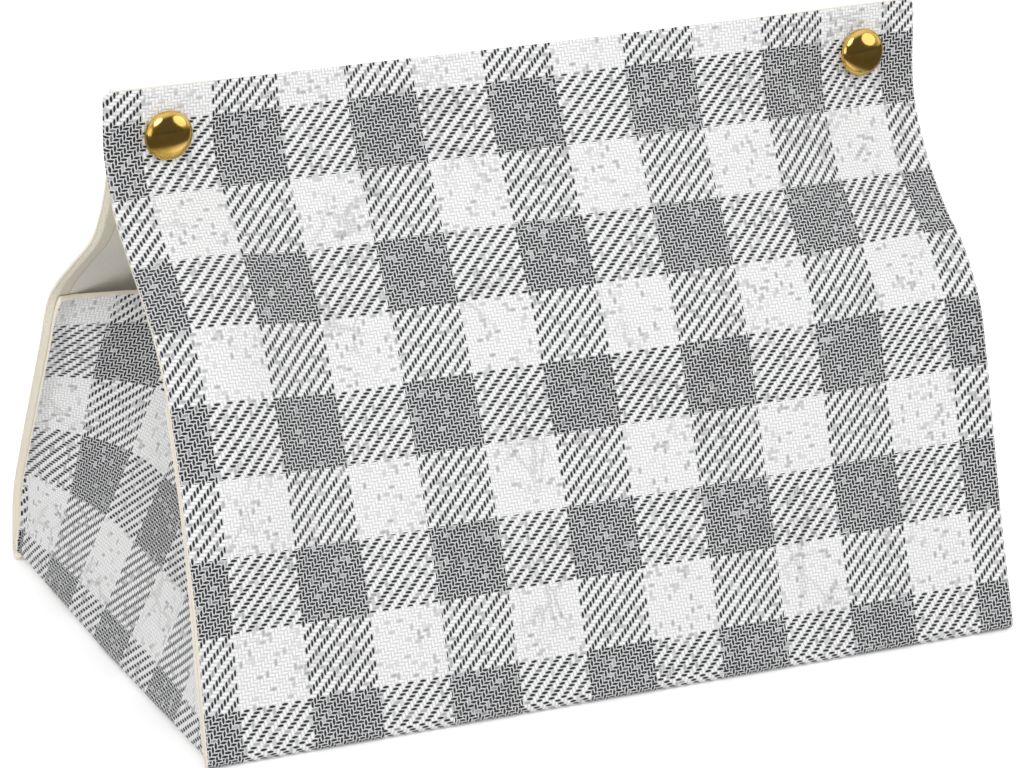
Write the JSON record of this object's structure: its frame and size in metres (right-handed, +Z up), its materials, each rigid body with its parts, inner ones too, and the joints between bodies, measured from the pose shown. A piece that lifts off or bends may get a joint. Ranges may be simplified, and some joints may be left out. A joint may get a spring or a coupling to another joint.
{
  "type": "tissue box cover",
  "caption": "Tent-shaped tissue box cover folded from soft coated sheet, with leaning panels, inward-folded ends and a snapped upright band over the tissue slit.",
  "frame": {"origin": "middle of the underside of the base, on the surface it stands on", "axes": "+X along the slit, from the left end to the right end; +Y from the front panel to the back panel; +Z up"},
  "size_m": [0.24, 0.152, 0.1628],
  "materials": {
    "checked_skin": "matt coated cloth skin, woven look, gingham check",
    "cream_lining": "fine-grained cream lining",
    "polished_gold": "polished, gold plated",
    "plain_brass": "plain pressed brass"
  },
  "bodies": {
    "base": {"base_skin": "checked_skin", "base_lining": "cream_lining", "left_gusset_skin": "checked_skin", "left_gusset_lining": "cream_lining", "right_gusset_skin": "checked_skin", "right_gusset_lining": "cream_lining"},
    "front_wall": {"front_wall_skin": "checked_skin", "front_wall_lining": "cream_lining", "left_front_flange": "checked_skin", "right_front_flange": "checked_skin"},
    "front_flap": {"front_flap_skin": "checked_skin", "front_flap_lining": "cream_lining", "left_cap": "polished_gold", "right_cap": "polished_gold", "left_socket": "plain_brass", "right_socket": "plain_brass"},
    "back_wall": {"back_wall_skin": "checked_skin", "back_wall_lining": "cream_lining", "left_back_flange": "checked_skin", "right_back_flange": "checked_skin"},
    "back_flap": {"back_flap_skin": "checked_skin", "back_flap_lining": "cream_lining", "left_stud": "plain_brass", "right_stud": "plain_brass", "left_rivet": "polished_gold", "right_rivet": "polished_gold"}
  },
  "joints": [
    {"name": "front_wall_fold", "type": "hinge", "parent": "base", "child": "front_wall", "pos_m": [0, -0.07562, 0.00385], "axis": [1, 0, 0], "range_deg": [0, 20.5], "deforming": ["left_gusset_skin", "left_gusset_lining", "right_gusset_skin", "right_gusset_lining"]},
    {"name": "front_flap_fold", "type": "hinge", "parent": "front_wall", "child": "front_flap", "pos_m": [0, -0.04717, 0.09501], "axis": [0.999, 0.0412, -0.0154], "range_deg": [0, 110]},
    {"name": "back_wall_fold", "type": "hinge", "parent": "base", "child": "back_wall", "pos_m": [0, 0.07562, 0.00385], "axis": [-1, 0, 0], "range_deg": [0, 20.5], "deforming": ["left_gusset_skin", "left_gusset_lining", "right_gusset_skin", "right_gusset_lining"]},
    {"name": "back_flap_fold", "type": "hinge", "parent": "back_wall", "child": "back_flap", "pos_m": [0, 0.04223, 0.09316], "axis": [-1, 0, 0], "range_deg": [0, 110]}
  ]
}
